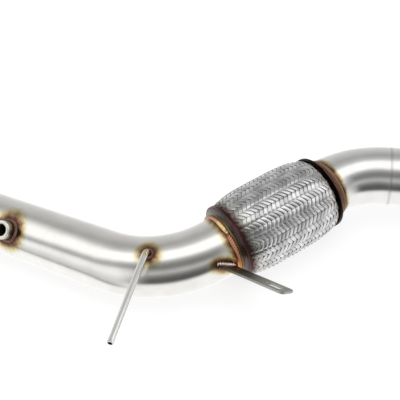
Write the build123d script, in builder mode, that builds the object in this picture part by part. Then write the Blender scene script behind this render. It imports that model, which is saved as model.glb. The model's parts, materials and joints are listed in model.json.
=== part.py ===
from build123d import *
from math import asin, cos, degrees, radians, sin, tan
import os

# Turbo downpipe: a bent stainless pipe with a braided flex section, a sensor boss, a small
# pressure tube and a slotted strap bracket. The pipe's route is flat, and the whole part lies as
# it balances, on the rim of its inlet end and on the belly of the braid. Origin at the inlet's
# open end, +X over the inlet run, +Z up.

# Pipe
pipe_radius = 31.75
pipe_wall = 1.6
inlet_length = 240.0
bend_1_radius = 113.0
bend_1_angle = 58.0
bend_2_radius = 87.0
bend_2_angle = 43.5
outlet_tail = 4.5
outlet_length = 72.0

# At rest: the roll at which the part balances, and how far the sloping barrel reaches below its middle
rest_roll = 2.32
belly_drop = 0.9

# Flex section
stub_in = 13.4
stub_out = 5.5
pipe_insertion = 8.0
cap_rise = 8.25
cap_radius = pipe_radius + cap_rise
cap_wall = 1.2
inlet_cap_length = 8.1
outlet_cap_length = 11.0
cap_nose = 2.0
inlet_cap_shoulder = 2.5
outlet_cap_shoulder = 5.4
cap_bend = 1.6
ring_width = 3.6
ring_wall = 0.8
braid_span = 112.5
braid_swell = 5.2
braid_radius = cap_radius + braid_swell
braid_wall = 1.0
braid_fullness = 4
braid_tuck = 2.2
bellows_wall = 0.6
bellows_depth = 3.4
bellows_waves = 10
liner_wall = 0.8
liner_band = 0.8
liner_bands = 12
liner_lap = 3.5

# Braid pattern: flat bands of wire, two over and two under, seen as columns of slanted pads
braid_columns = 32
braid_rows = 16
pad_height = 0.7
pad_width = 7.4
pad_length = 4.8
pad_slant = 30.0

# Sensor boss
boss_radius = 10.2
boss_bore = 6.2
boss_hole = 7.0
boss_height = 12.0
boss_from_bend = 111.0
boss_angle = 49.0
boss_chamfer = 0.8

# Pressure tube
tube_radius = 3.2
tube_wall = 0.9
tube_turn_at = 0.43
tube_angle = 75.0
tube_clocking = 14.0
tube_rise = 2.0
tube_bend_radius = 11.0
tube_bend_angle = 75.5
tube_straight = 97.5

# Strap bracket
strap_width = 20.0
strap_thick = 2.5
strap_reach = 110.5
strap_back = 4.0
strap_root_angle = 17.0
strap_rise = 15.0
strap_lean = 16.0
strap_twist = 33.5
strap_corner = 5.0
slot_width = 8.5
slot_length = 20.0
slot_edge = 6.0

# Welds and fits
ring_bead = 2.3
boss_bead = 3.0
tube_bead = 2.8
strap_bead = 2.4
strap_bead_run = 24.0
butt_gap = 1.0
butt_crown = 0.4
butt_lap = 1.2
fit = 0.05

os.makedirs("parts", exist_ok=True)

# The route, drawn flat, then laid so that the inlet's rim and the braid touch the floor together
bore_radius = pipe_radius - pipe_wall
flex_run = stub_in + inlet_cap_length + braid_span + outlet_cap_length + stub_out
with BuildLine() as flat:
    inlet_line = Line((0, 0), (inlet_length, 0))
    bend_1 = JernArc(inlet_line @ 1, inlet_line % 1, bend_1_radius, bend_1_angle)
    flex_line = PolarLine(bend_1 @ 1, flex_run, direction=bend_1 % 1)
    bend_2 = JernArc(flex_line @ 1, flex_line % 1, bend_2_radius, -bend_2_angle)
    tail_line = PolarLine(bend_2 @ 1, outlet_tail, direction=bend_2 % 1)
belly = flex_line @ 0.5
belly_lift = braid_radius + belly_drop - pipe_radius - belly.Y * sin(radians(rest_roll))
rest_pitch = degrees(asin(belly_lift / belly.X))
inlet_ahead = Vector(1, 0, 0).rotate(Axis.Y, -rest_pitch)
inlet_over = Vector(0, 0, 1).rotate(Axis.Y, -rest_pitch).rotate(Axis((0, 0, 0), inlet_ahead), rest_roll)
lay = Plane(origin=(0, 0, 0), x_dir=inlet_ahead, z_dir=inlet_over)


def station(edge, share):
    """Section plane of the run: x is up, y is its right-hand side and z runs downstream."""
    origin = lay.from_local_coords(edge @ share)
    ahead = lay.from_local_coords(edge @ share + edge % share)
    return Plane(origin=origin, x_dir=lay.z_dir, z_dir=ahead - origin)


def laid(*edges):
    """The given flat edges as one wire in the laid plane."""
    return Wire([lay.from_local_coords(edge) for edge in edges])


def lengthwise(section, downstream=1):
    """Half-section plane: x is the radius and y runs along the pipe, downstream or back."""
    return Plane(origin=section.origin, x_dir=section.x_dir, z_dir=-downstream * section.y_dir)


def centre_axis(section):
    """The pipe's own axis at a section."""
    return Axis(section.origin, section.z_dir)


def outward(section, angle):
    """Plane on the pipe's centre whose z points out, at an angle above the right-hand side."""
    up = section.x_dir * sin(radians(angle))
    side = section.y_dir * cos(radians(angle))
    return Plane(origin=section.origin, x_dir=section.z_dir, z_dir=up + side)


inlet_end = station(inlet_line, 0)
bend_1_end = station(flex_line, 0)
cap_1_nose = bend_1_end.offset(stub_in)
braid_start = cap_1_nose.offset(inlet_cap_length)
braid_end = braid_start.offset(braid_span)
cap_2_nose = braid_end.offset(outlet_cap_length)
tail_end = station(tail_line, 1)
outlet_start = tail_end.offset(butt_gap)
flex_axis = centre_axis(braid_start)
boss_base = outward(inlet_end.offset(inlet_length - boss_from_bend), boss_angle)
tube_base = outward(station(bend_1, tube_turn_at), tube_angle)
strap_root_reach = pipe_radius / cos(radians(strap_lean))
strap_set_back = strap_back + strap_root_reach * sin(radians(strap_lean))
strap_base = outward(bend_1_end.offset(-strap_set_back), strap_root_angle)

# Routes of both bent runs, and a solid core of the inlet run to shape what is welded on to it
with BuildLine() as stubs:
    inlet_stub = PolarLine(bend_1 @ 1, stub_in + pipe_insertion, direction=bend_1 % 1)
    outlet_stub = PolarLine(flex_line @ 1, -stub_out - pipe_insertion, direction=flex_line % 1)
inlet_route = laid(inlet_line, bend_1, inlet_stub)
outlet_route = laid(outlet_stub, bend_2, tail_line)
with BuildPart() as inlet_core:
    with BuildSketch(inlet_end):
        Circle(pipe_radius + fit)
    sweep(path=inlet_route)

# Inlet pipe: one bent tube, pierced for the sensor and the pressure tube
with BuildPart() as inlet_pipe:
    with BuildSketch(inlet_end):
        Circle(pipe_radius)
        Circle(bore_radius, mode=Mode.SUBTRACT)
    sweep(path=inlet_route)
    with BuildSketch(boss_base):
        Circle(boss_hole)
    extrude(amount=pipe_radius + boss_height, mode=Mode.SUBTRACT)
    with BuildSketch(tube_base):
        Circle(tube_radius + fit)
    extrude(amount=pipe_radius + boss_height, mode=Mode.SUBTRACT)
inlet_pipe.part.label = "inlet_pipe"
export_step(inlet_pipe.part, "parts/inlet_pipe.step")

# Sensor boss: a turned ring with a saddle foot
with BuildPart() as sensor_boss:
    with BuildSketch(boss_base):
        Circle(boss_radius)
    extrude(amount=pipe_radius + boss_height)
    chamfer(sensor_boss.faces().sort_by(Axis(boss_base.origin, boss_base.z_dir))[-1].edges(), boss_chamfer)
    with BuildSketch(boss_base):
        Circle(boss_bore)
    extrude(amount=pipe_radius + boss_height, mode=Mode.SUBTRACT)
    add(inlet_core.part, mode=Mode.SUBTRACT)
sensor_boss.part.label = "sensor_boss"
export_step(sensor_boss.part, "parts/sensor_boss.step")

# Weld round the boss: a collar on the pipe's own curve, rounded off at its outer rim
boss_axis = Axis(boss_base.origin, boss_base.z_dir)
with BuildPart() as sensor_boss_weld:
    with BuildSketch(boss_base):
        Circle(boss_radius + boss_bead)
        Circle(boss_radius + fit, mode=Mode.SUBTRACT)
    extrude(amount=pipe_radius + boss_height)
    with BuildSketch(inlet_end):
        Circle(pipe_radius + boss_bead)
    extrude(amount=inlet_length, mode=Mode.INTERSECT)
    fillet(sensor_boss_weld.edges().sort_by(boss_axis)[-2:].sort_by(SortBy.LENGTH)[-1], boss_bead * 0.7)
    add(inlet_core.part, mode=Mode.SUBTRACT)
sensor_boss_weld.part.label = "sensor_boss_weld"
export_step(sensor_boss_weld.part, "parts/sensor_boss_weld.step")

# Pressure tube: leaves the wall square, bends over and runs straight to its open end
tube_lean = tube_base.x_dir.rotate(Axis(tube_base.origin, tube_base.z_dir), -90 - tube_clocking)
tube_side = Plane(origin=tube_base.origin, x_dir=tube_lean, z_dir=tube_lean.cross(tube_base.z_dir))
with BuildLine() as tube_flat:
    tube_root = Line((0, bore_radius), (0, pipe_radius + tube_rise))
    tube_arc = JernArc(tube_root @ 1, tube_root % 1, tube_bend_radius, -tube_bend_angle)
    tube_run = PolarLine(tube_arc @ 1, tube_straight, direction=tube_arc % 1)
with BuildPart() as pressure_tube:
    with BuildSketch(tube_base.offset(bore_radius)):
        Circle(tube_radius)
        Circle(tube_radius - tube_wall, mode=Mode.SUBTRACT)
    sweep(path=Wire([tube_side.from_local_coords(edge) for edge in (tube_root, tube_arc, tube_run)]))
pressure_tube.part.label = "pressure_tube"
export_step(pressure_tube.part, "parts/pressure_tube.step")

# Weld round the foot of the pressure tube
with BuildPart() as pressure_tube_weld:
    with BuildSketch(tube_base):
        Circle(tube_radius + tube_bead)
        Circle(tube_radius + fit, mode=Mode.SUBTRACT)
    extrude(amount=pipe_radius + tube_bead)
    tube_weld_top = pressure_tube_weld.faces().sort_by(Axis(tube_base.origin, tube_base.z_dir))[-1]
    fillet(tube_weld_top.outer_wire().edges(), tube_bead * 0.9)
    add(inlet_core.part, mode=Mode.SUBTRACT)
pressure_tube_weld.part.label = "pressure_tube_weld"
export_step(pressure_tube_weld.part, "parts/pressure_tube_weld.step")

# Strap bracket: a flat slotted bar that stands out from the pipe, turned about its own length
strap_radial = strap_base.z_dir.rotate(Axis(strap_base.origin, strap_base.x_dir), strap_root_angle - strap_rise)
strap_ahead = strap_radial * cos(radians(strap_lean)) + strap_base.x_dir * sin(radians(strap_lean))
strap_level = strap_base.x_dir * cos(radians(strap_lean)) - strap_radial * sin(radians(strap_lean))
strap_across = strap_level.rotate(Axis(strap_base.origin, strap_ahead), -strap_twist)
strap_face = Plane(origin=strap_base.origin, x_dir=strap_ahead, z_dir=strap_ahead.cross(strap_across))
with BuildPart() as strap_bracket:
    with BuildSketch(strap_face) as strap_outline:
        with Locations((strap_reach / 2, 0)):
            Rectangle(strap_reach, strap_width)
        fillet(strap_outline.vertices().group_by(Axis.X)[-1], strap_corner)
        with Locations((strap_reach - slot_edge - slot_length / 2, 0)):
            SlotOverall(slot_length, slot_width, mode=Mode.SUBTRACT)
    extrude(amount=strap_thick / 2, both=True)
    add(inlet_core.part, mode=Mode.SUBTRACT)
strap_bracket.part.label = "strap_bracket"
export_step(strap_bracket.part, "parts/strap_bracket.step")

# Welds along both faces of the strap's root: the upper one laps round the ends
strap_root = Plane(origin=strap_base.origin, x_dir=strap_face.z_dir, z_dir=strap_across)
with BuildPart() as strap_weld_upper:
    with BuildSketch(strap_root):
        with Locations((strap_thick / 2, strap_root_reach)):
            Circle(strap_bead)
    extrude(amount=strap_bead_run / 2, both=True)
    fillet(strap_weld_upper.edges().filter_by(GeomType.CIRCLE), strap_bead * 0.8)
    add(inlet_core.part, mode=Mode.SUBTRACT)
    add(strap_bracket.part, mode=Mode.SUBTRACT)
strap_weld_upper.part.label = "strap_weld_upper"
export_step(strap_weld_upper.part, "parts/strap_weld_upper.step")

with BuildPart() as strap_weld_lower:
    with BuildSketch(strap_root):
        with Locations((-strap_thick / 2, strap_root_reach)):
            Circle(strap_bead)
    extrude(amount=strap_width / 2, both=True)
    add(inlet_core.part, mode=Mode.SUBTRACT)
    add(strap_bracket.part, mode=Mode.SUBTRACT)
    add(strap_weld_upper.part, mode=Mode.SUBTRACT)
strap_weld_lower.part.label = "strap_weld_lower"
export_step(strap_weld_lower.part, "parts/strap_weld_lower.step")

# End caps: drawn collars that step from the pipe up to the braid
nose_middle = pipe_radius + fit + cap_wall / 2
skirt_middle = cap_radius - cap_wall / 2
for name, section, side, cap_length, cap_shoulder in (
    ("inlet", cap_1_nose, 1, inlet_cap_length, inlet_cap_shoulder),
    ("outlet", cap_2_nose, -1, outlet_cap_length, outlet_cap_shoulder),
):
    skirt_start = cap_nose + cap_shoulder
    cap_steps = [(nose_middle, 0), (nose_middle, cap_nose), (skirt_middle, skirt_start), (skirt_middle, cap_length)]
    with BuildPart() as cap:
        with BuildSketch(lengthwise(section, side)):
            with BuildLine() as cap_line:
                FilletPolyline(*cap_steps, radius=cap_bend)
            trace(line_width=cap_wall)
        revolve(axis=flex_axis)
    cap.part.label = "flex_cap_" + name
    export_step(cap.part, "parts/flex_cap_" + name + ".step")

    # Retaining ring pressed over the rim of the cap
    with BuildPart() as ring:
        with BuildSketch(lengthwise(section, side)) as ring_section:
            with Locations((cap_radius + fit + ring_wall / 2, cap_length - ring_width / 2)):
                Rectangle(ring_wall, ring_width)
            fillet(ring_section.vertices().group_by(Axis.X)[-1], ring_wall / 2)
        revolve(axis=flex_axis)
    ring.part.label = "flex_ring_" + name
    export_step(ring.part, "parts/flex_ring_" + name + ".step")

    # Bead between the pipe and the nose of the cap
    with BuildPart() as flex_weld:
        with BuildSketch(lengthwise(section, side)):
            with Locations((pipe_radius, -ring_bead / 2)):
                Circle(ring_bead)
            with Locations((pipe_radius + fit, 0)):
                Rectangle(pipe_radius, pipe_radius, align=(Align.MAX, Align.CENTER), mode=Mode.SUBTRACT)
            with Locations((pipe_radius + fit, -fit)):
                Rectangle(cap_wall + fit, pipe_radius, align=Align.MIN, mode=Mode.SUBTRACT)
        revolve(axis=flex_axis)
    flex_weld.part.label = "flex_weld_" + name
    export_step(flex_weld.part, "parts/flex_weld_" + name + ".step")

# Liner: a thin tube with stiffening bands, lapped over both pipe ends
liner_start = pipe_insertion - liner_lap - inlet_cap_length
liner_end = braid_span + outlet_cap_length + liner_lap - pipe_insertion
liner_run = liner_end - liner_start
liner_middle = (liner_start + liner_end) / 2
liner_radius = pipe_radius + fit
with BuildPart() as flex_liner:
    with BuildSketch(lengthwise(braid_start)):
        with Locations((liner_radius + liner_wall / 2, liner_middle)):
            Rectangle(liner_wall, liner_run)
        with Locations((liner_radius + liner_wall + liner_band / 2, liner_middle)):
            with GridLocations(0, liner_run / liner_bands, 1, liner_bands):
                Rectangle(liner_band, liner_run / liner_bands / 2)
    revolve(axis=flex_axis)
flex_liner.part.label = "flex_liner"
export_step(flex_liner.part, "parts/flex_liner.step")

# Bellows: a corrugated tube whose plain ends sit under the braid inside both caps
column_angle = 360 / braid_columns
braid_end_radius = (cap_radius - cap_wall - fit) * cos(radians(column_angle / 2))
bellows_crest = braid_end_radius - braid_wall - fit - bellows_wall / 2
bellows_root = bellows_crest - bellows_depth
wave = braid_span / bellows_waves
wave_steps = [(bellows_crest, -braid_tuck)]
for i in range(bellows_waves):
    wave_steps += [(bellows_crest, (i + 0.25) * wave), (bellows_root, (i + 0.35) * wave)]
    wave_steps += [(bellows_root, (i + 0.65) * wave), (bellows_crest, (i + 0.75) * wave)]
wave_steps += [(bellows_crest, braid_span + braid_tuck)]
with BuildPart() as flex_bellows:
    with BuildSketch(lengthwise(braid_start)):
        with BuildLine():
            Polyline(*wave_steps)
        trace(line_width=bellows_wall)
    revolve(axis=flex_axis)
flex_bellows.part.label = "flex_bellows"
export_step(flex_bellows.part, "parts/flex_bellows.step")

# Braid: one flat-sided barrel wall, widest at its middle, under slanted pads of wire
wall_radius = braid_radius - pad_height
swell = wall_radius - braid_end_radius
wall_line = [(braid_end_radius, -braid_tuck), (braid_end_radius, 0)]
for share in (0.06, 0.15, 0.3, 0.5, 0.7, 0.85, 0.94):
    wall_line += [(braid_end_radius + swell * (1 - abs(2 * share - 1) ** braid_fullness), share * braid_span)]
wall_line += [(braid_end_radius, braid_span), (braid_end_radius, braid_span + braid_tuck)]
inner_line = [(radius - braid_wall, along) for radius, along in reversed(wall_line)]
pad_line = [(radius + pad_height, along) for radius, along in wall_line[1:-1]]
pad_floor = [(radius - braid_wall / 2, along) for radius, along in reversed(wall_line[1:-1])]
half_width = braid_radius * tan(radians(column_angle / 2))
row_pitch = braid_span / (braid_rows + 1)
slant_rise = tan(radians(pad_slant)) * pad_width / 2
with BuildPart() as column_wall:
    with BuildSketch(lengthwise(Plane.XY)):
        Polygon(*wall_line, *inner_line, align=None)
    extrude(amount=half_width, both=True)
    with BuildSketch(Plane.XY.offset(-braid_tuck)):
        Polygon((0, 0), (braid_radius, half_width), (braid_radius, -half_width), align=None)
    extrude(amount=braid_span + 2 * braid_tuck, mode=Mode.INTERSECT)
columns = []
for lean, shift in ((1, 0), (-1, row_pitch / 2)):
    with BuildPart() as column_pads:
        with BuildSketch(lengthwise(Plane.XY)):
            Polygon(*pad_line, *pad_floor, align=None)
        extrude(amount=pad_width / 2, both=True)
        with BuildSketch(Plane.YZ):
            with Locations((0, braid_span / 2 + shift - row_pitch / 4)):
                with GridLocations(0, row_pitch, 1, braid_rows):
                    Polygon(
                        (-pad_width / 2, -pad_length / 2 - lean * slant_rise),
                        (pad_width / 2, -pad_length / 2 + lean * slant_rise),
                        (pad_width / 2, pad_length / 2 + lean * slant_rise),
                        (-pad_width / 2, pad_length / 2 - lean * slant_rise),
                        align=None,
                    )
        extrude(amount=2 * braid_radius, mode=Mode.INTERSECT)
        add(column_wall.part)
    columns += [column_pads.part]
with BuildPart(braid_start) as flex_braid:
    with PolarLocations(0, braid_columns // 2):
        add(columns[0])
    with PolarLocations(0, braid_columns // 2, start_angle=column_angle):
        add(columns[1])
flex_braid.part.label = "flex_braid"
export_step(flex_braid.part, "parts/flex_braid.step")

# Outlet bend, the butt weld and the plain outlet pipe
with BuildPart() as outlet_bend:
    with BuildSketch(cap_2_nose.offset(-pipe_insertion)):
        Circle(pipe_radius)
        Circle(bore_radius, mode=Mode.SUBTRACT)
    sweep(path=outlet_route)
outlet_bend.part.label = "outlet_bend"
export_step(outlet_bend.part, "parts/outlet_bend.step")

with BuildPart() as outlet_butt_weld:
    with BuildSketch(lengthwise(tail_end)):
        with BuildLine():
            Polyline((pipe_radius, -butt_lap), (pipe_radius, 0), (bore_radius, 0), (bore_radius, butt_gap),
                     (pipe_radius, butt_gap), (pipe_radius, butt_gap + butt_lap))
            ThreePointArc((pipe_radius, butt_gap + butt_lap), (pipe_radius + butt_crown, butt_gap / 2),
                          (pipe_radius, -butt_lap))
        make_face()
    revolve(axis=centre_axis(tail_end))
outlet_butt_weld.part.label = "outlet_butt_weld"
export_step(outlet_butt_weld.part, "parts/outlet_butt_weld.step")

with BuildPart() as outlet_pipe:
    with BuildSketch(outlet_start):
        Circle(pipe_radius)
        Circle(bore_radius, mode=Mode.SUBTRACT)
    extrude(amount=outlet_length)
outlet_pipe.part.label = "outlet_pipe"
export_step(outlet_pipe.part, "parts/outlet_pipe.step")
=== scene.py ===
import json
import bmesh
import bpy
import numpy as np
from mathutils import Matrix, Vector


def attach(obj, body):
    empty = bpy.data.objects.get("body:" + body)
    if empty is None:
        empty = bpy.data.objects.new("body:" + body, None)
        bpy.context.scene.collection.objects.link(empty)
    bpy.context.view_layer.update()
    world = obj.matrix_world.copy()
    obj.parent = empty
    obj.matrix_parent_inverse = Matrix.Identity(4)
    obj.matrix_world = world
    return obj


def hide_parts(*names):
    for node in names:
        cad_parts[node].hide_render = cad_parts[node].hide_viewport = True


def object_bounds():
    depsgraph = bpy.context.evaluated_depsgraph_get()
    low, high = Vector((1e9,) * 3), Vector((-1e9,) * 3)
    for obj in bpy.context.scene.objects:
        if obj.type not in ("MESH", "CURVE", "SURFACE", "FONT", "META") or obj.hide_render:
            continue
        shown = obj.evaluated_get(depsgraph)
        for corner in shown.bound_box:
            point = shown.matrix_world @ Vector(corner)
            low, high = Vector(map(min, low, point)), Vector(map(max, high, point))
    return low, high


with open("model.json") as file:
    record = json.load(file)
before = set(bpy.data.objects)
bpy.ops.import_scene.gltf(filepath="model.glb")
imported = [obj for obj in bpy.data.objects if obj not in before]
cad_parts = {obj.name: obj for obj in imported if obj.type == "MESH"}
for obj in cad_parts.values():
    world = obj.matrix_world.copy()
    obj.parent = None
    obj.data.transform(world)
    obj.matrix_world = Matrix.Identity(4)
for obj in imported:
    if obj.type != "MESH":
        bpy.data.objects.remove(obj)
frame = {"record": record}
cad_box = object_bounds()

MM = 0.001
DEG = np.pi / 180
TURN = 2 * np.pi

# Sizes of the pipework in millimetres, the same as the frame's
PIPE, WALL = 31.75, 1.6
BORE = PIPE - WALL
INLET_RUN, FLEX_RUN, OUTLET_RUN = 240.0, 150.5, 77.5
BEND_1_RADIUS, BEND_1_ANGLE = 113.0, 58.0 * DEG
BEND_2_RADIUS, BEND_2_ANGLE = 87.0, 43.5 * DEG
RUNS = (INLET_RUN, BEND_1_RADIUS * BEND_1_ANGLE, FLEX_RUN, BEND_2_RADIUS * BEND_2_ANGLE, OUTLET_RUN)
CURVES = (0.0, 1 / BEND_1_RADIUS, 0.0, -1 / BEND_2_RADIUS, 0.0)
STARTS = np.concatenate(([0.0], np.cumsum(RUNS)[:-1]))
ROLL, BELLY_LOW = 2.32 * DEG, 46.1

# Caps, braid, butt joint and last tube, as distances along the route
STUB_IN, STUB_UNDER = 13.4, 8.0
CAP_1, CAP_2, SPAN = 8.1, 11.0, 112.5
NOSE_1 = STARTS[2] + STUB_IN
BRAID_1 = NOSE_1 + CAP_1
BRAID_2 = BRAID_1 + SPAN
NOSE_2 = BRAID_2 + CAP_2
BUTT_GAP = 1.0
BUTT = STARTS[4] + 4.5
TAIL = BUTT + BUTT_GAP + 72.0
LINES_ROUND = 144


# Shapes

def whole_turn(count):
    """Angles spread evenly over a whole turn: k 2 pi / count."""
    return np.arange(count) * TURN / count


def heading(s):
    """The route's direction at s: the sum of curvature times the length travelled in each run."""
    s = np.asarray(s, float)
    return sum(k * np.clip(s - s0, 0, length) for s0, length, k in zip(STARTS, RUNS, CURVES))


def centre(s):
    """The route's point at s. Each straight adds t (cos h, sin h); each arc adds
    (sin h1 - sin h0, cos h0 - cos h1) / k."""
    s = np.asarray(s, float)
    x, y, h = np.zeros_like(s), np.zeros_like(s), 0.0
    for s0, length, k in zip(STARTS, RUNS, CURVES):
        t = np.clip(s - s0, 0, length)
        if k == 0:
            x, y = x + t * np.cos(h), y + t * np.sin(h)
        else:
            x, y = x + (np.sin(h + k * t) - np.sin(h)) / k, y + (np.cos(h) - np.cos(h + k * t)) / k
        h += k * length
    return np.stack((x, y, np.zeros_like(x)), -1)


def rest_directions():
    """The flat route's x, y and z at rest: pitched up until the braid clears the floor, then rolled."""
    belly = centre(STARTS[2] + RUNS[2] / 2)
    pitch = np.arcsin((BELLY_LOW - PIPE - belly[1] * np.sin(ROLL)) / belly[0])
    x = np.array((np.cos(pitch), 0.0, np.sin(pitch)))
    over = np.array((-np.sin(pitch), 0.0, np.cos(pitch)))
    level = np.array((0.0, 1.0, 0.0))
    rolled = level * np.cos(ROLL) + over * np.sin(ROLL)
    return np.stack((x, rolled, over * np.cos(ROLL) - level * np.sin(ROLL)))


LAY = rest_directions()


def laid(points):
    """Millimetres in the flat route's directions, as metres where the part lies."""
    return points @ LAY * MM


def about_route(s, angle, radius):
    """Points round the route: centre + radius (cos a * right-hand side + sin a * up), laid at rest."""
    s, angle, radius = np.broadcast_arrays(s, angle, radius)
    h = heading(s)
    side = np.stack((np.sin(h), -np.cos(h), np.zeros_like(h)), -1)
    up = np.array((0.0, 0.0, 1.0))
    off = radius[..., None] * (np.cos(angle)[..., None] * side + np.sin(angle)[..., None] * up)
    return laid(centre(s) + off)


def surface_near(points, s):
    """The pipe's surface nearest to points: s moves by each offset's part along the route, four times."""
    for _ in range(4):
        along = np.stack((np.cos(heading(s)), np.sin(heading(s)), 0 * s), -1) @ LAY
        s = s + ((points - laid(centre(s))) * along).sum(-1) / MM
    off = points - laid(centre(s))
    out = off / np.linalg.norm(off, axis=-1, keepdims=True)
    return laid(centre(s)) + PIPE * MM * out, out


def mesh_piece(name, flat, quads, material, stands_for=(), marks=None):
    """A piece of quads, turned over where the sum of each quad's middle dotted with its area is negative."""
    a, b, c, d = (flat[quads[:, k]] for k in range(4))
    area = np.cross(c - a, d - b) / 2
    middle = (a + b + c + d) / 4 - flat.mean(axis=0)
    if (middle * area).sum() < 0:
        quads = quads[:, ::-1]
    mesh = bpy.data.meshes.new(name)
    mesh.from_pydata(flat.tolist(), [], quads.tolist())
    mesh.polygons.foreach_set("use_smooth", np.ones(len(quads), bool))
    for mark, values in (marks or {}).items():
        layer = mesh.attributes.new(mark, "FLOAT", "POINT")
        layer.data.foreach_set("value", np.asarray(values, float).reshape(-1))
    mesh.materials.append(material)
    mesh.update()
    piece = bpy.data.objects.new(name, mesh)
    bpy.context.collection.objects.link(piece)
    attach(piece, "root")
    if stands_for:
        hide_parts(*stands_for)
    return piece


def grid_piece(name, points, material, stands_for=(), loops=(True, True), marks=None):
    """A piece on a grid: point (i, j) joins (i+1, j), (i+1, j+1) and (i, j+1), wrapping round a loop."""
    points = np.asarray(points, float)
    n, m = points.shape[:2]
    rows = np.arange(n if loops[0] else n - 1)
    cols = np.arange(m if loops[1] else m - 1)
    i, j = np.meshgrid(rows, cols, indexing="ij")
    i2, j2 = (i + 1) % n, (j + 1) % m
    quads = np.stack((i * m + j, i2 * m + j, i2 * m + j2, i * m + j2), -1).reshape(-1, 4)
    return mesh_piece(name, points.reshape(-1, 3), quads, material, stands_for, marks)


def turned(name, s, radius, material, stands_for=(), marks=None):
    """A closed outline (s, radius) carried round the route's own centreline."""
    angle = whole_turn(LINES_ROUND)[None, :]
    s, radius = np.asarray(s, float)[:, None], np.asarray(radius, float)[:, None]
    points = about_route(s, angle, radius)
    found = marks(points, s) if marks else None
    return grid_piece(name, points, material, stands_for, marks=found)


def outline(corners, steps, ease):
    """A closed outline through corners, each rounded by a quadratic curve from ease short of the corner."""
    p = np.asarray(corners, float)
    before, after = np.roll(p, 1, 0) - p, np.roll(p, -1, 0) - p
    reach_b, reach_a = np.linalg.norm(before, axis=1), np.linalg.norm(after, axis=1)
    cut = np.minimum(ease, 0.45 * np.minimum(reach_b, reach_a))[:, None]
    start, end = p + before / reach_b[:, None] * cut, p + after / reach_a[:, None] * cut
    t = np.linspace(0, 1, steps)[None, :, None]
    curve = (1 - t) ** 2 * start[:, None] + 2 * t * (1 - t) * p[:, None] + t ** 2 * end[:, None]
    return curve.reshape(-1, 2)


# Finishes

def colour(r, g, b):
    """A colour given in 0 to 255 display steps, as linear light: ((c + 0.055) / 1.055) to the power 2.4."""
    c = np.array((r, g, b)) / 255
    lit = np.where(c <= 0.04045, c / 12.92, ((c + 0.055) / 1.055) ** 2.4)
    return (*lit, 1.0)


def node(tree, kind, inputs=None, **settings):
    """Adds a node, sets its settings, and feeds its inputs with values or with other nodes' outputs."""
    made = tree.nodes.new(kind)
    for key, value in settings.items():
        setattr(made, key, value)
    for key, value in (inputs or {}).items():
        if isinstance(value, bpy.types.NodeSocket):
            tree.links.new(value, made.inputs[key])
        else:
            made.inputs[key].default_value = value
    return made


def maths(tree, operation, *values, clamp=False):
    """The result of one sum over numbers or other nodes' outputs."""
    made = node(tree, "ShaderNodeMath", dict(enumerate(values)), operation=operation, use_clamp=clamp)
    return made.outputs[0]


def noise(tree, scale, detail=2.0):
    """Noise over the object's own coordinates, from 0 to 1."""
    where = node(tree, "ShaderNodeTexCoord").outputs["Object"]
    return node(tree, "ShaderNodeTexNoise", {"Vector": where, "Scale": scale, "Detail": detail}).outputs[0]


def wander(tree, value, amount, scale):
    """A value moved by noise: value + amount (noise - 0.5)."""
    centred = maths(tree, "ADD", noise(tree, scale, 3.0), -0.5)
    return maths(tree, "MULTIPLY_ADD", centred, amount, value)


def blend(tree, share, one, other, kind="MIX"):
    """Two colours blended by a share, or multiplied."""
    inputs = {0: share, 6: one, 7: other}
    return node(tree, "ShaderNodeMix", inputs, data_type="RGBA", blend_type=kind).outputs[2]


def ramp(tree, factor, stops):
    """A colour ramp with stops (position, colour)."""
    made = node(tree, "ShaderNodeValToRGB", {0: factor})
    bar = made.color_ramp
    for _ in stops[2:]:
        bar.elements.new(0.5)
    for element, (place, tone) in zip(bar.elements, stops):
        element.position = place
        element.color = tone
    return made.outputs[0]


def mark(tree, name):
    """A value stored on the mesh's points."""
    return node(tree, "ShaderNodeAttribute", attribute_name=name).outputs["Fac"]


def group(name, inputs, outputs):
    """An empty node group with float or colour sockets; returns its tree and the nodes at its two ends."""
    tree = bpy.data.node_groups.new(name, "ShaderNodeTree")
    for label, kind, value in inputs:
        socket = tree.interface.new_socket(label, in_out="INPUT", socket_type="NodeSocket" + kind)
        socket.default_value = value
    for label, kind in outputs:
        tree.interface.new_socket(label, in_out="OUTPUT", socket_type="NodeSocket" + kind)
    return tree, tree.nodes.new("NodeGroupInput"), tree.nodes.new("NodeGroupOutput")


def grain_group():
    """Grain: roughness = Rough + Streak * fine noise + Cloud * cloudy noise; height = the fine noise."""
    inputs = [("Rough", "Float", 0.15), ("Streak", "Float", 0.05), ("Cloud", "Float", 0.05)]
    tree, start, end = group("polish grain", inputs, [("Roughness", "Float"), ("Height", "Float")])
    fine = noise(tree, 900.0, 3.0)
    streaked = maths(tree, "MULTIPLY_ADD", fine, start.outputs["Streak"], start.outputs["Rough"])
    clouded = maths(tree, "MULTIPLY_ADD", noise(tree, 38.0, 4.0), start.outputs["Cloud"], streaked)
    tree.links.new(clouded, end.inputs["Roughness"])
    tree.links.new(fine, end.inputs["Height"])
    return tree


def temper_group():
    """Heat colours by the distance from a weld: dull brown, olive, straw and then clear metal."""
    inputs = [("Distance", "Float", 10.0), ("Reach", "Float", 10.0), ("Ragged", "Float", 1.5)]
    tree, start, end = group("heat colours", inputs, [("Tint", "Color")])
    moved = wander(tree, start.outputs["Distance"], start.outputs["Ragged"], 190.0)
    share = maths(tree, "DIVIDE", moved, start.outputs["Reach"], clamp=True)
    tint = ramp(tree, share, [
        (0.0, colour(82, 60, 48)), (0.14, colour(112, 82, 66)), (0.28, colour(150, 116, 94)),
        (0.42, colour(182, 158, 120)), (0.56, colour(214, 200, 160)), (0.72, colour(240, 232, 200)),
        (0.86, colour(249, 247, 236)), (1.0, colour(255, 255, 255))])
    tree.links.new(tint, end.inputs["Tint"])
    return tree


GRAIN = grain_group()
TEMPER = temper_group()


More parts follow.
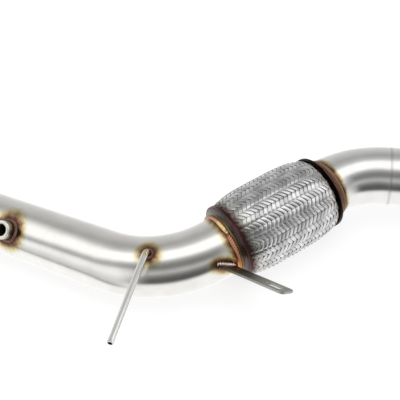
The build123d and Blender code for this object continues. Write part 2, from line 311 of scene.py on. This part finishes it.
def steel(name, base, rough, streak, cloud, bump=0.0, heats=(), band=None, band_reach=20.0, valley_shade_colour=None):
    """Metal with grain. heats lists (mark, reach, ragged) of weld distances; band lists stops over the mark
    'band'; the valley colour, when given, is painted shade, multiplied in where the braid's mark of tone and
    painted shade is 0."""
    made = bpy.data.materials.new(name)
    made.use_nodes = True
    tree = made.node_tree
    shader = tree.nodes["Principled BSDF"]
    shader.inputs["Metallic"].default_value = 1.0
    grain = node(tree, "ShaderNodeGroup", {"Rough": rough, "Streak": streak, "Cloud": cloud}, node_tree=GRAIN)
    tree.links.new(grain.outputs["Roughness"], shader.inputs["Roughness"])
    mottle = [(0.3, colour(*(np.array(base) * 0.96))), (0.7, colour(*base))]
    tone = ramp(tree, noise(tree, 60.0, 5.0), mottle)
    if band:
        share = maths(tree, "DIVIDE", wander(tree, mark(tree, "band"), 1.6, 120.0), band_reach, clamp=True)
        tint = ramp(tree, share, [(place / band_reach, colour(*rgb)) for place, rgb in band])
        tone = blend(tree, 1.0, tone, tint, "MULTIPLY")
    # Painted shade: the valley colour darkens the braid where its stored mark of tone and painted shade falls
    # to 0.
    if valley_shade_colour:
        valley_shading = [(0.0, colour(*valley_shade_colour)), (0.55, colour(215, 215, 215)), (1.0, colour(255, 255, 255))]
        tone = blend(tree, 1.0, tone, ramp(tree, mark(tree, "tone_and_painted_shade"), valley_shading), "MULTIPLY")
    for heat_mark, reach, ragged in heats:
        inputs = {"Distance": mark(tree, heat_mark), "Reach": reach, "Ragged": ragged}
        heat = node(tree, "ShaderNodeGroup", inputs, node_tree=TEMPER)
        tone = blend(tree, 1.0, tone, heat.outputs["Tint"], "MULTIPLY")
    tree.links.new(tone, shader.inputs["Base Color"])
    if bump:
        inputs = {"Height": grain.outputs["Height"], "Strength": bump, "Distance": 0.0002}
        tree.links.new(node(tree, "ShaderNodeBump", inputs).outputs[0], shader.inputs["Normal"])
    return made


# Where the fittings stand on the inlet pipe: the boss from the frame's record, the others from the route
mounts = {mount["name"]: mount for mount in frame["record"]["mounts"]}
BOSS_HIGH, BOSS_MOUNT_HIGH = 12.0, 6.0
boss_at = np.array(mounts["sensor_thread"]["pos_m"])
boss_axis = np.array(mounts["sensor_thread"]["axis"])
boss_foot = boss_at - boss_axis * (PIPE + BOSS_MOUNT_HIGH) * MM

TUBE_S = STARTS[1] + 0.43 * RUNS[1]
TUBE_UP = 75 * DEG
tube_foot = about_route(TUBE_S, TUBE_UP, PIPE)
tube_out = about_route(TUBE_S, TUBE_UP, PIPE + 1) - tube_foot
tube_out /= np.linalg.norm(tube_out)
tube_way = np.array(mounts["pressure_tube_end"]["axis"])

STRAP_LEAN, STRAP_RISE, STRAP_TWIST = 16 * DEG, 15 * DEG, -33.5 * DEG
STRAP_THICK, STRAP_HALF, STRAP_BEHIND = 2.5, 10.0, 4.0
STRAP_ROOT = PIPE / np.cos(STRAP_LEAN)
STRAP_BACK = STRAP_BEHIND + STRAP_ROOT * np.sin(STRAP_LEAN)
STRAP_S = STARTS[2] - STRAP_BACK
FLOW = np.array((np.cos(BEND_1_ANGLE), np.sin(BEND_1_ANGLE), 0.0))


def strap_directions():
    """Along, across and through the strap: out of the pipe, leant downstream, twisted about its length."""
    side, up = np.array((FLOW[1], -FLOW[0], 0.0)), np.array((0.0, 0.0, 1.0))
    out = up * np.sin(STRAP_RISE) + side * np.cos(STRAP_RISE)
    along = out * np.cos(STRAP_LEAN) + FLOW * np.sin(STRAP_LEAN)
    level = FLOW * np.cos(STRAP_LEAN) - out * np.sin(STRAP_LEAN)
    across = level * np.cos(STRAP_TWIST) + np.cross(along, level) * np.sin(STRAP_TWIST)
    return along @ LAY, across @ LAY, np.cross(along, across) @ LAY


strap_along, strap_across, strap_through = strap_directions()
strap_foot = laid(centre(STARTS[2]) - FLOW * STRAP_BACK) + strap_along * STRAP_ROOT * MM

# How far each weld's edge lies from the line or rim that it follows, and a distance that no heat reaches
BOSS_EDGE, TUBE_EDGE, STRAP_EDGE, FLEX_EDGE, NO_HEAT = 12.5, 5.0, 3.5, 3.4, 60.0


def line_distance(points, at, along):
    """Millimetres from each point to a straight line: the length of (p - at) less its part along."""
    off = points - at
    return np.linalg.norm(off - (off @ along)[..., None] * along, axis=-1) / MM


def inlet_marks(points, s):
    """Millimetres from the edges of the four welds on the inlet pipe, on each fitting's own side."""
    along = np.broadcast_to(s, points.shape[:2])
    out = points - laid(centre(along))
    off = points - strap_foot
    run = np.clip(off @ strap_across, -STRAP_HALF * MM, STRAP_HALF * MM)
    strap = np.linalg.norm(off - run[..., None] * strap_across, axis=-1) / MM - STRAP_EDGE
    boss = line_distance(points, boss_foot, boss_axis) - BOSS_EDGE + NO_HEAT * (out @ boss_axis < 0)
    tube = line_distance(points, tube_foot, tube_out) - TUBE_EDGE + NO_HEAT * (out @ tube_out < 0)
    flex = NOSE_1 - FLEX_EDGE - along
    return {"boss_heat": boss, "tube_heat": tube, "strap_heat": strap, "flex_heat": flex}


def outlet_marks(points, s):
    """Distance in millimetres from the weld of the outlet bend."""
    return {"flex_heat": np.broadcast_to(s, points.shape[:2]) - NOSE_2 - FLEX_EDGE}


# Pipes
pipe_steel = steel("polished pipe steel", (228, 226, 222), 0.13, 0.04, 0.06, heats=(
    ("boss_heat", 14.0, 7.0), ("tube_heat", 12.0, 6.0), ("strap_heat", 9.0, 4.0), ("flex_heat", 9.0, 5.0)))
outlet_steel = steel("polished outlet steel", (226, 225, 224), 0.13, 0.04, 0.06, heats=(
    ("flex_heat", 8.0, 5.0),))
RIM, BUTT_RIM = 0.5, 0.1


def quarter_round(radius):
    """A quarter circle in four steps: its run radius (1 - cos t) and lack of height radius (1 - sin t)."""
    t = np.linspace(0, np.pi / 2, 4)
    return radius * (1 - np.cos(t)), radius * (1 - np.sin(t))


def pipe_outline(s0, s1, spacing, rim_0=RIM, rim_1=RIM):
    """A tube wall: along the outer radius, round a rim of radius rim_1, back along the bore, round the rim
    rim_0. A narrow step beside each rim keeps its rounding out of the tube's shading."""
    step = 0.1
    inner = np.linspace(s0 + rim_0 + step, s1 - rim_1 - step, max(2, int((s1 - s0) / spacing)))
    run = np.concatenate(([s0 + rim_0], inner, [s1 - rim_1]))
    (run_0, lack_0), (run_1, lack_1) = quarter_round(rim_0), quarter_round(rim_1)
    s = np.concatenate((run, s1 - run_1[::-1], s1 - run_1, run[::-1], s0 + run_0[::-1], s0 + run_0))
    r = np.concatenate((np.full(len(run), PIPE), PIPE - lack_1[::-1], BORE + lack_1,
                        np.full(len(run), BORE), BORE + lack_0[::-1], PIPE - lack_0))
    return s, r


for name, (s, r), material, stands_for, marks in (
        ("inlet_pipe_skin", pipe_outline(0.0, NOSE_1 + STUB_UNDER, 2.0), pipe_steel,
         "inlet_pipe", inlet_marks),
        ("outlet_bend_skin", pipe_outline(NOSE_2 - STUB_UNDER, BUTT, 2.0, rim_1=BUTT_RIM), outlet_steel,
         "outlet_bend", outlet_marks),
        ("outlet_pipe_skin", pipe_outline(BUTT + BUTT_GAP, TAIL, 3.0, rim_0=BUTT_RIM), outlet_steel,
         "outlet_pipe", outlet_marks)):
    turned(name, s, r, material, (stands_for,), marks)


# Beads
def bead(name, s0, height, reach, ripples, material, stands_for, start=0.0, root=0.4):
    """A ring bead: reach cos t along, from root deep to height sin t over the pipe, with the height swelled
    by 1 + 0.14 cos(n a + 3.6 cos t) + 0.056 sin(5 a + start) and the reach by 1 + 0.06 sin(9 a + start)."""
    angle = whole_turn(ripples * 6)
    t = np.linspace(0, np.pi, 15)[:, None]
    swell = 1 + 0.14 * np.cos(ripples * angle + 3.6 * np.cos(t)) + 0.056 * np.sin(5 * angle + start)
    along = s0 - reach * np.cos(t) * (1 + 0.06 * np.sin(9 * angle + start))
    points = about_route(along, angle[None, :], PIPE - root + (height * swell + root) * np.sin(t))
    # The mark 'band' runs round the pipe, 0 to 20 over a whole turn, for colours that change round the bead,
    # such as a painted highlight along its top.
    marks = {"band": np.broadcast_to(angle / TURN * 20, points.shape[:2])}
    return grid_piece(name, points, material, (stands_for,), marks=marks)


# Copper tint round the bead: a painted highlight in cream along its top (4.15 to 4.9, about 75 to 90 degrees
# up, fading by 100), a thin dark line just below it, and duller brown round the left side and bottom.
copper_bead_with_highlight = steel("copper tinted bead with painted highlight", (250, 242, 236), 0.22, 0.08, 0.12, 0.5, band=[
    (0.0, (228, 158, 104)), (1.0, (222, 160, 118)), (2.8, (214, 156, 124)), (3.5, (196, 142, 112)),
    (3.85, (100, 72, 48)), (4.15, (255, 232, 176)), (4.9, (246, 214, 158)), (5.7, (206, 164, 140)),
    (8.0, (176, 144, 128)), (14.0, (150, 120, 100)), (17.0, (226, 150, 92)), (20.0, (228, 158, 104))])
brown_bead = steel("brown tinted bead", (136, 112, 92), 0.25, 0.08, 0.1, 0.4)
pale_bead = steel("pale bead", (206, 205, 204), 0.17, 0.04, 0.06)
bead("flex_bead_inlet", s0=NOSE_1 - 1.7, height=2.2, reach=2.7, ripples=84, material=copper_bead_with_highlight,
     stands_for="flex_weld_inlet")
bead("flex_bead_outlet", s0=NOSE_2 + 1.4, height=1.9, reach=2.3, ripples=84, material=brown_bead,
     stands_for="flex_weld_outlet", start=2.0)
bead("butt_bead", s0=BUTT + BUTT_GAP / 2, height=0.035, reach=1.6, ripples=110, material=pale_bead,
     stands_for="outlet_butt_weld", start=1.0, root=0.015)

# Caps and their rings
NOSE_R, SKIRT_R, CAP_WALL = 33.0, 40.0, 1.2
RING_IN, RING_OUT, GROOVE_R = 40.05, 40.85, 40.5


def nose_marks(nose, way, shift=0.0):
    """The distance from a cap's nose in millimetres, plus a shift, as the mark 'band'."""
    return lambda points, s: {"band": np.broadcast_to(way * (s - nose) + shift, points.shape[:2])}


def cap(name, nose, way, rise, long, material, stands_for):
    """A drawn collar: nose, shoulder up to rise and skirt, with a rounded outline, run downstream or back."""
    outer = [(0.0, NOSE_R), (1.8, NOSE_R), (rise - 0.2, SKIRT_R), (long, SKIRT_R)]
    inner = [(long, SKIRT_R - CAP_WALL), (rise + 0.4, SKIRT_R - CAP_WALL),
             (2.4, NOSE_R - CAP_WALL), (0.0, NOSE_R - CAP_WALL)]
    line = outline(outer + inner, 7, 1.3)
    return turned(name, nose + way * line[:, 0], line[:, 1], material, (stands_for,),
                  nose_marks(nose, way))


def ring(name, nose, way, long, material, stands_for):
    """A pressed ring over the skirt, 3.6 mm wide, with two fine grooves. Its colours start at the braid; the
    dark lines in its grooves and the near black at its braid edge are painted shade.
    """
    face = [(-3.6, RING_OUT), (-2.5, RING_OUT), (-2.3, GROOVE_R), (-2.1, RING_OUT), (-1.3, RING_OUT),
            (-1.1, GROOVE_R), (-0.9, RING_OUT), (0.0, RING_OUT)]
    line = outline([(-3.6, RING_IN)] + face + [(0.0, RING_IN)], 5, 0.3) + (long, 0.0)
    return turned(name, nose + way * line[:, 0], line[:, 1], material, (stands_for,),
                  nose_marks(nose, way, CAP_2 - long))


inlet_cap = steel("tinted inlet cap", (176, 168, 160), 0.24, 0.06, 0.1, band=[
    (0.0, (170, 140, 110)), (1.5, (165, 158, 135)), (3.0, (128, 132, 118)), (4.0, (120, 108, 134)),
    (5.0, (92, 78, 112)), (20.0, (90, 75, 90))])
outlet_cap = steel("tinted outlet cap", (160, 150, 142), 0.22, 0.06, 0.1, band=[
    (0.0, (190, 170, 120)), (1.4, (214, 140, 112)), (2.4, (120, 88, 96)), (3.1, (206, 190, 192)),
    (3.9, (120, 98, 118)), (5.2, (108, 106, 142)), (6.4, (168, 160, 164)), (7.4, (90, 78, 80)),
    (20.0, (74, 62, 58))])
# Inlet ring: tint bands, with dark lines painted as shade in the two grooves (8.7 and 9.9) and near black
# painted shade of the groove at the braid edge (from 10.8).
ring_steel = steel("tinted ring with painted groove shade", (150, 130, 120), 0.25, 0.06, 0.1, band=[
    (0.0, (140, 120, 120)), (7.6, (176, 164, 160)), (8.3, (120, 100, 104)), (8.7, (60, 45, 50)),
    (9.2, (176, 124, 116)), (9.9, (60, 40, 45)), (10.5, (150, 125, 110)), (10.8, (24, 18, 18)),
    (20.0, (14, 10, 10))])
# Outlet ring: near black from its first groove (8.7) to the braid edge, painted shade of the deep groove
# between ring and braid.
groove_shaded_ring = steel("ring painted dark with groove shade", (150, 136, 126), 0.3, 0.06, 0.1, band=[
    (0.0, (140, 120, 120)), (7.6, (190, 180, 172)), (8.1, (110, 92, 90)), (8.7, (40, 32, 30)),
    (9.3, (14, 12, 12)), (20.0, (10, 8, 8))])
cap("inlet_cap", NOSE_1, 1, 4.5, CAP_1, inlet_cap, "flex_cap_inlet")
cap("outlet_cap", NOSE_2, -1, 7.4, CAP_2, outlet_cap, "flex_cap_outlet")
ring("inlet_ring", NOSE_1, 1, CAP_1, ring_steel, "flex_ring_inlet")
ring("outlet_ring", NOSE_2, -1, CAP_2, groove_shaded_ring, "flex_ring_outlet")

# Braid
CARRIERS, LEAD, CARRIER_HALF, WIRES = 36, 180.0, 1.88, 6
BRAID_UNDER, BRAID_STEPS, WEAVE_LIFT = 1.6, 116, 0.44
END_R, BELLY_R = 38.6, 44.9


def braid_radius(s):
    """Barrel: end + (belly - end)(1 - |2k - 1|^4), with k the share of the span."""
    k = np.clip((s - BRAID_1) / SPAN, 0, 1)
    return END_R + (BELLY_R - END_R) * (1 - np.abs(2 * k - 1) ** 4)


def braid_set(name, hand, material, stands_for=()):
    """Carriers of one hand: helices of six ribbed wires. Each goes over two and under two of the other hand,
    lifted by tanh(2 sin(18 a)); its section is 0.1 on each wire plus 0.2 (1 - u^2) across the carrier."""
    s = np.linspace(BRAID_1 - BRAID_UNDER, BRAID_2 + BRAID_UNDER, BRAID_STEPS)
    u = np.linspace(-1, 1, WIRES * 2 + 1)
    rib = np.where(np.arange(len(u)) % 2 == 0, 0.0, 1.0)
    top = np.stack((u, 0.1 * rib + 0.2 * (1 - u ** 2)), -1)
    low = np.array(((1.0, -0.15), (-1.0, -0.15)))
    section = np.concatenate((top, low))
    first = whole_turn(CARRIERS)
    angle = first[:, None] + hand * TURN * (s - BRAID_1)[None, :] / LEAD
    wave = np.sin(CARRIERS / 2 * angle) * hand
    radius = braid_radius(s)[None, :] + WEAVE_LIFT * np.tanh(2.0 * wave)
    slope = np.arctan2(TURN * radius, LEAD)
    across_s = CARRIER_HALF * np.sin(slope)
    across_a = -hand * CARRIER_HALF * np.cos(slope) / radius
    ss = s[None, :, None] + across_s[..., None] * section[None, None, :, 0]
    aa = angle[..., None] + across_a[..., None] * section[None, None, :, 0]
    rr = radius[..., None] + section[None, None, :, 1] + (braid_radius(ss) - braid_radius(s)[None, :, None])
    points = about_route(ss, aa, rr)
    n, m = len(s), len(section)
    i, j = np.meshgrid(np.arange(n - 1), np.arange(m), indexing="ij")
    j2 = (j + 1) % m
    one = np.stack((i * m + j, (i + 1) * m + j, (i + 1) * m + j2, i * m + j2), -1).reshape(-1, 4)
    quads = (one[None] + (np.arange(CARRIERS) * n * m)[:, None, None]).reshape(-1, 4)
    if hand < 0:
        quads = quads[:, ::-1]
    # The mark stored here is random tone with painted shade. Each carrier gets its own tone. The grooves
    # between wires and the carrier's underside are painted darker, and each carrier is painted darker where
    # it dips under the other hand.
    shade = 0.8 + 0.2 * np.cos(first * 7.3 + hand)[:, None, None]
    bright = np.concatenate((0.25 + 0.75 * rib, (0.0, 0.0)))[None, None, :]
    tone_and_painted_shade = bright * shade * (0.82 + 0.18 * np.tanh(2.2 * wave))[..., None]
    marks = {"band": np.broadcast_to(ss - BRAID_1, points.shape[:3]), "tone_and_painted_shade": tone_and_painted_shade}
    return mesh_piece(name, points.reshape(-1, 3), quads, material, stands_for, marks)


# Braid wire: the valley colour is painted shade in the grooves between wires, under each carrier and where
# carriers dip under. Along the braid it is darker and brownish over the first 8 mm, and near black over the
# last 2 mm as painted shade of the groove against the outlet ring.
braid_wire = steel("bright braid wire", (255, 255, 255), 0.12, 0.05, 0.06, valley_shade_colour=(34, 31, 30), band=[
    (0.0, (84, 66, 66)), (3.0, (140, 122, 120)), (8.0, (235, 235, 228)), (20.0, (255, 255, 255)),
    (102.0, (255, 255, 255)), (108.5, (225, 218, 210)), (110.6, (90, 78, 74)), (111.4, (20, 16, 16)),
    (112.5, (10, 8, 8))], band_reach=SPAN)
braid_set("braid_right_hand", 1, braid_wire, ("flex_braid",))
braid_set("braid_left_hand", -1, braid_wire)


# Sensor boss
def saddle(radius, angle):
    """Height over the pipe's centre where a boss wall meets the pipe: sqrt(PIPE^2 - (radius sin a)^2)."""
    return np.sqrt(PIPE ** 2 - (radius * np.sin(angle)) ** 2)


def fitting_point(middle, out, flow, radius, angle, height):
    """Points about a fitting's axis: middle + radius (cos a * flow + sin a * (out x flow)) + height * out."""
    round_it = np.cos(angle)[..., None] * flow + np.sin(angle)[..., None] * np.cross(out, flow)
    return middle + MM * (radius[..., None] * round_it + height[..., None] * out)


BOSS_R, THREAD_R, THREAD_DEEP, THREAD_PITCH = 10.2, 6.2, 0.4, 1.5
BOSS_TOP = PIPE + BOSS_HIGH
boss_flow = LAY[0]
angle = whole_turn(96)[None, :]
thread_z = np.linspace(BOSS_TOP - 0.6, PIPE + 0.5, 60)[:, None] + 0 * angle
thread_r = THREAD_R + THREAD_DEEP * np.abs(((thread_z / THREAD_PITCH - angle / TURN) % 1) * 2 - 1)
wall = np.array(((BOSS_R, PIPE + 3.0), (BOSS_R, BOSS_TOP - 0.8), (9.9, BOSS_TOP - 0.3), (9.4, BOSS_TOP),
                 (7.2, BOSS_TOP), (6.9, BOSS_TOP - 0.2)))
level = 0 * angle
rad = np.concatenate((level + BOSS_R, wall[:, :1] + level, thread_r, level + THREAD_R))
hgt = np.concatenate((saddle(BOSS_R, angle), wall[:, 1:] + level, thread_z, saddle(THREAD_R, angle)))
boss_steel = steel("turned boss steel", (232, 230, 222), 0.24, 0.08, 0.1, 0.2, band=[
    (0.0, (255, 255, 255)), (0.8, (240, 238, 228)), (2.4, (150, 144, 122)), (8.0, (112, 104, 84)),
    (20.0, (90, 80, 62))])
boss_points = fitting_point(boss_foot, boss_axis, boss_flow, rad, angle + 0 * rad, hgt)
grid_piece("boss_body", boss_points, boss_steel, ("sensor_boss",),
           marks={"band": BOSS_TOP - hgt})


def collar_bead(name, middle, out, flow, inner, reach, rise, ripples, material, stands_for):
    """A bead round a fitting: radius inner + reach cos t, height saddle + rise sin t, swelled by
    1 + 0.1 cos(n a + 2.5 t)."""
    count = ripples * 6
    angle = whole_turn(count)[None, :]
    t = np.linspace(0, np.pi / 2, 9)[:, None]
    swell = 1 + 0.1 * np.cos(ripples * angle + 2.5 * t)
    arc_r = inner + reach * np.cos(t) * swell
    arc_z = saddle(arc_r, angle) - 0.15 + (rise - 0.3) * np.sin(t) * swell
    root = np.stack((np.full(count, inner), np.full(count, inner + reach * 0.73)))
    rad = np.concatenate((arc_r, root))
    hgt = np.concatenate((arc_z, saddle(root, angle) - 0.3))
    points = fitting_point(middle, out, flow, rad, np.broadcast_to(angle, rad.shape), hgt)
    grid_piece(name, points, material, (stands_for,))


bead_steel = steel("dark tinted bead", (128, 98, 86), 0.22, 0.08, 0.1, 0.4)
collar_bead("boss_bead", boss_foot, boss_axis, boss_flow, inner=BOSS_R, reach=3.0, rise=3.0, ripples=42,
            material=bead_steel, stands_for="sensor_boss_weld")

# Pressure tube
TUBE_R, TUBE_BORE, TUBE_BEND, TUBE_RUN, TUBE_RISE, TUBE_LIP = 3.2, 2.3, 11.0, 97.5, 2.0, 0.25
tube_lean = tube_way - tube_out * (tube_way @ tube_out)
tube_lean /= np.linalg.norm(tube_lean)
ROOT_RUN = WALL + TUBE_RISE
ARC_RUN = TUBE_BEND * np.arccos(tube_way @ tube_out)


def tube_line(d):
    """The tube's line at distance d: straight, an arc R (sin a out + (1 - cos a) lean), straight."""
    rise = (np.clip(d, 0, ROOT_RUN) - WALL)[..., None]
    arc = (np.clip(d - ROOT_RUN, 0, ARC_RUN) / TUBE_BEND)[..., None]
    run = np.clip(d - ROOT_RUN - ARC_RUN, 0, TUBE_RUN)[..., None]
    bent = TUBE_BEND * (np.sin(arc) * tube_out + (1 - np.cos(arc)) * tube_lean)
    way = np.cos(arc) * tube_out + np.sin(arc) * tube_lean
    return tube_foot + MM * (rise * tube_out + bent + run * tube_way), way


length = ROOT_RUN + ARC_RUN + TUBE_RUN
run = np.concatenate((np.linspace(0.2, ROOT_RUN, 3), np.linspace(ROOT_RUN, ROOT_RUN + ARC_RUN, 24)[1:],
                      np.linspace(ROOT_RUN + ARC_RUN, length - TUBE_LIP, 30)[1:]))
lip, lack = quarter_round(TUBE_LIP)
d = np.concatenate((run, length - lip[::-1], length - lip, run[::-1]))
r = np.concatenate((np.full(len(run), TUBE_R), TUBE_R - lack[::-1],
                    TUBE_BORE + lack, np.full(len(run), TUBE_BORE)))
angle = whole_turn(40)[None, :, None]
line, way = tube_line(d)
flat_side = np.cross(tube_out, tube_lean)
around = np.cos(angle) * flat_side + np.sin(angle) * np.cross(way, flat_side)[:, None]
points = line[:, None] + MM * r[:, None, None] * around
tube_steel = steel("drawn tube steel", (236, 235, 232), 0.1, 0.03, 0.04, heats=(("foot_heat", 16.0, 4.0),))
grid_piece("pressure_tube_skin", points, tube_steel, ("pressure_tube",),
           marks={"foot_heat": np.broadcast_to(d[:, None], points.shape[:2]) - TUBE_EDGE})
tube_flow = np.array((np.cos(heading(TUBE_S)), np.sin(heading(TUBE_S)), 0)) @ LAY
tube_bead_steel = steel("brown tube bead", (126, 96, 84), 0.22, 0.08, 0.1, 0.4)
collar_bead("tube_bead", laid(centre(TUBE_S)), tube_out, tube_flow, inner=TUBE_R, reach=2.8, rise=2.8,
            ripples=22, material=tube_bead_steel, stands_for="pressure_tube_weld")

# Strap bracket: the frame's own plate with its edges rolled over
strap_steel = steel("dull strap steel", (190, 188, 184), 0.36, 0.06, 0.12, 0.3, band=[
    (0.0, (76, 66, 50)), (6.0, (104, 98, 74)), (16.0, (150, 146, 128)), (30.0, (196, 194, 186)),
    (60.0, (235, 235, 232))], band_reach=60.0)
shape = bmesh.new()
shape.from_mesh(bpy.data.objects["strap_bracket"].data)
bmesh.ops.remove_doubles(shape, verts=shape.verts, dist=1e-5)
bmesh.ops.dissolve_limit(shape, angle_limit=2 * DEG, verts=shape.verts, edges=shape.edges)
strap_mesh = bpy.data.meshes.new("strap_plate")
shape.to_mesh(strap_mesh)
shape.free()
where = np.empty(len(strap_mesh.vertices) * 3)
strap_mesh.vertices.foreach_get("co", where)
far = (where.reshape(-1, 3) - strap_foot) @ strap_along / MM
strap_mesh.attributes.new("band", "FLOAT", "POINT").data.foreach_set("value", far)
strap_mesh.materials.clear()
strap_mesh.materials.append(strap_steel)
strap = bpy.data.objects.new("strap_plate", strap_mesh)
bpy.context.collection.objects.link(strap)
edge = strap.modifiers.new("rolled edge", "BEVEL")
edge.width, edge.segments, edge.limit_method, edge.angle_limit = 0.55 * MM, 3, "ANGLE", 30 * DEG
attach(strap, "root")
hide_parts("strap_bracket")


def strap_bead(name, face, half, ripples, material, stands_for):
    """A bead in the corner of strap and pipe: radius 2.5 sqrt(1 - |u|^6) (1 + 0.26 cos(n pi u + 0.6 sin 5u)),
    with 0.35 of it inside the wall, closed to a point at both ends."""
    u = np.linspace(-1, 1, 121)
    at = strap_foot + MM * (u[:, None] * half * strap_across + face * STRAP_THICK / 2 * strap_through)
    on, out = surface_near(at, np.full(len(u), STRAP_S))
    swell = 1 + 0.26 * np.cos(ripples * np.pi * u + 0.6 * np.sin(5 * u))
    radius = 2.5 * np.sqrt(1 - np.abs(u) ** 6 * 0.999) * swell
    t = whole_turn(24)[None, :, None]
    lift = np.where(np.sin(t) < 0, 0.35, 1.0) * np.sin(t)
    around = np.cos(t) * face * strap_through + lift * out[:, None]
    points = on[:, None] + MM * radius[:, None, None] * around
    tips = points[[0, -1]].mean(axis=1, keepdims=True) + 0 * points[:1]
    points = np.concatenate((tips[:1], points, tips[1:]))
    grid_piece(name, points, material, (stands_for,), loops=(False, True))


ripple_steel = steel("pink silver bead", (214, 190, 180), 0.16, 0.08, 0.1, 0.4)
strap_bead("strap_bead_upper", 1, 12.0, 9, ripple_steel, "strap_weld_upper")
strap_bead("strap_bead_lower", -1, 9.5, 7, bead_steel, "strap_weld_lower")

# Liner and bellows, hidden under the braid, keep the frame's shapes; their steel is painted dark, as painted
# shade where the bellows show through the braid's gaps
shade_dark_inner_steel = steel("inner steel painted dark as shade", (96, 92, 88), 0.45, 0.06, 0.1)
for hidden in ("flex_liner", "flex_bellows"):
    for place in bpy.data.objects[hidden].material_slots:
        place.material = shade_dark_inner_steel

# Floor: mostly its own light, so that only a faint shadow shows, and unseen by the polished steel
FLOOR_HALF, FLOOR_GLOW = 6.0, 0.77
low = cad_box[0][2]
floor_mesh = bpy.data.meshes.new("floor")
floor_corners = [(x * FLOOR_HALF, y * FLOOR_HALF, low) for x, y in ((-1, -1), (1, -1), (1, 1), (-1, 1))]
floor_mesh.from_pydata(floor_corners, [], [(0, 1, 2, 3)])
floor = bpy.data.objects.new("floor", floor_mesh)
bpy.context.collection.objects.link(floor)
floor.visible_glossy = False
floor_paint = bpy.data.materials.new("pale floor")
floor_paint.use_nodes = True
tree = floor_paint.node_tree
shader = tree.nodes["Principled BSDF"]
shader.inputs["Roughness"].default_value = 0.9
shader.inputs["Specular IOR Level"].default_value = 0.0
speck = ramp(tree, noise(tree, 3.0), [(0.3, colour(146, 146, 146)), (0.7, colour(148, 148, 148))])
tree.links.new(speck, shader.inputs["Base Color"])
path = node(tree, "ShaderNodeLightPath")
seen = maths(tree, "MAXIMUM", path.outputs["Is Camera Ray"], path.outputs["Is Glossy Ray"])
seen = maths(tree, "MAXIMUM", seen, path.outputs["Is Transmission Ray"])
shader.inputs["Emission Color"].default_value = (1, 1, 1, 1)
tree.links.new(maths(tree, "MULTIPLY", seen, FLOOR_GLOW), shader.inputs["Emission Strength"])
floor_mesh.materials.append(floor_paint)

# Camera, fitted to the photograph's outlines: focal length and principal point, in 400ths of a picture
PICTURE, FOCAL, MIDDLE_X, MIDDLE_Y, SENSOR = 400, 643.65, 166.19, 182.66, 36.0
camera_data = bpy.data.cameras.new("camera")
camera = bpy.data.objects.new("camera", camera_data)
bpy.context.collection.objects.link(camera)
camera_data.sensor_width = SENSOR
camera_data.lens = FOCAL / PICTURE * SENSOR
camera_data.shift_x = (PICTURE / 2 - MIDDLE_X) / PICTURE
camera_data.shift_y = (MIDDLE_Y - PICTURE / 2) / PICTURE
camera_data.clip_end = 50
right = np.array((0.878613, 0.460633, -0.125924)) @ LAY
ahead = np.array((-0.409952, 0.592333, -0.6936)) @ LAY
right -= ahead * (right @ ahead) / (ahead @ ahead)
right /= np.linalg.norm(right)
ahead /= np.linalg.norm(ahead)
place = np.eye(4)
place[:3, 0], place[:3, 1], place[:3, 2] = right, np.cross(right, ahead), -ahead
place[:3, 3] = laid(np.array((549.386, -318.004, 517.953)))
camera.matrix_world = Matrix(place.tolist())
bpy.context.scene.camera = camera

# Surroundings: a light overhead, dark far walls and a pale table, in bands about the viewer's horizontal
world = bpy.data.worlds.new("studio")
bpy.context.scene.world = world
world.use_nodes = True
tree = world.node_tree
background = tree.nodes["Background"]
viewer = np.array(((0.523, -0.8467, 0.098), (0.8524, 0.5195, -0.0602), (0.0, 0.115, 0.9934))) @ LAY
way = node(tree, "ShaderNodeTexCoord").outputs["Generated"]
parts = [node(tree, "ShaderNodeVectorMath", {0: way, 1: axis}, operation="DOT_PRODUCT") for axis in viewer]
front, side, up = (part.outputs["Value"] for part in parts)
share = maths(tree, "MULTIPLY_ADD", maths(tree, "ARCTAN2", up, front), 1 / TURN, 0.5)


def bands(stops):
    """A ramp of stops (angle, brightness): 0 is the viewer's horizon, 90 overhead, 180 the far horizon.
    Brightness is as seen in the metal, which reflects 0.74 of it."""
    lit = [((angle + 180) / 360, (*np.array(colour(v, v, v))[:3] / 0.74, 1.0)) for angle, v in stops]
    return ramp(tree, share, lit)


def by_side(start, end, one, other):
    """Two ramps blended as the direction turns to one side, from start to end."""
    amount = node(tree, "ShaderNodeMapRange", {"Value": side, "From Min": start, "From Max": end}).outputs[0]
    return blend(tree, amount, one, other)


middle = bands([
    (-180, 205), (-165, 225), (-150, 242), (-32, 242), (-25, 200), (-19, 78), (-4, 84), (8, 122),
    (20, 182), (28, 158), (36, 116), (47, 120), (60, 172), (67, 250), (72, 262), (94, 262), (101, 215),
    (108, 182), (126, 160), (150, 186), (180, 205)])
left_hand = bands([
    (-180, 215), (-165, 235), (-80, 250), (-62, 246), (-55, 232), (-50, 158), (-45, 146), (-39, 196),
    (-20, 214), (-6, 226), (12, 244), (34, 236), (44, 172), (58, 168), (66, 225), (74, 258), (112, 258),
    (120, 225), (128, 195), (140, 192), (160, 214), (180, 212)])
right_hand = bands([
    (-180, 250), (-150, 235), (-128, 120), (-110, 242), (-20, 235), (30, 170), (60, 250), (100, 262),
    (112, 200), (119, 96), (128, 120), (136, 236), (160, 255), (180, 250)])
studio = by_side(-0.3, -0.62, by_side(0.5, 0.75, middle, right_hand), left_hand)
path = node(tree, "ShaderNodeLightPath")
plain = blend(tree, path.outputs["Is Glossy Ray"], (0.85, 0.85, 0.85, 1), studio)
backdrop = blend(tree, path.outputs["Is Camera Ray"], plain, (1, 1, 1, 1))
tree.links.new(backdrop, background.inputs["Color"])

lamp_data = bpy.data.lights.new("overhead", "AREA")
lamp_data.shape = "RECTANGLE"
lamp_data.size, lamp_data.size_y = 1.6, 1.0
lamp_data.energy = 9
lamp = bpy.data.objects.new("overhead", lamp_data)
lamp.location = (0.3, 0.1, 1.5)
lamp.visible_glossy = False
bpy.context.collection.objects.link(lamp)
bpy.context.scene.view_settings.view_transform = "Standard"
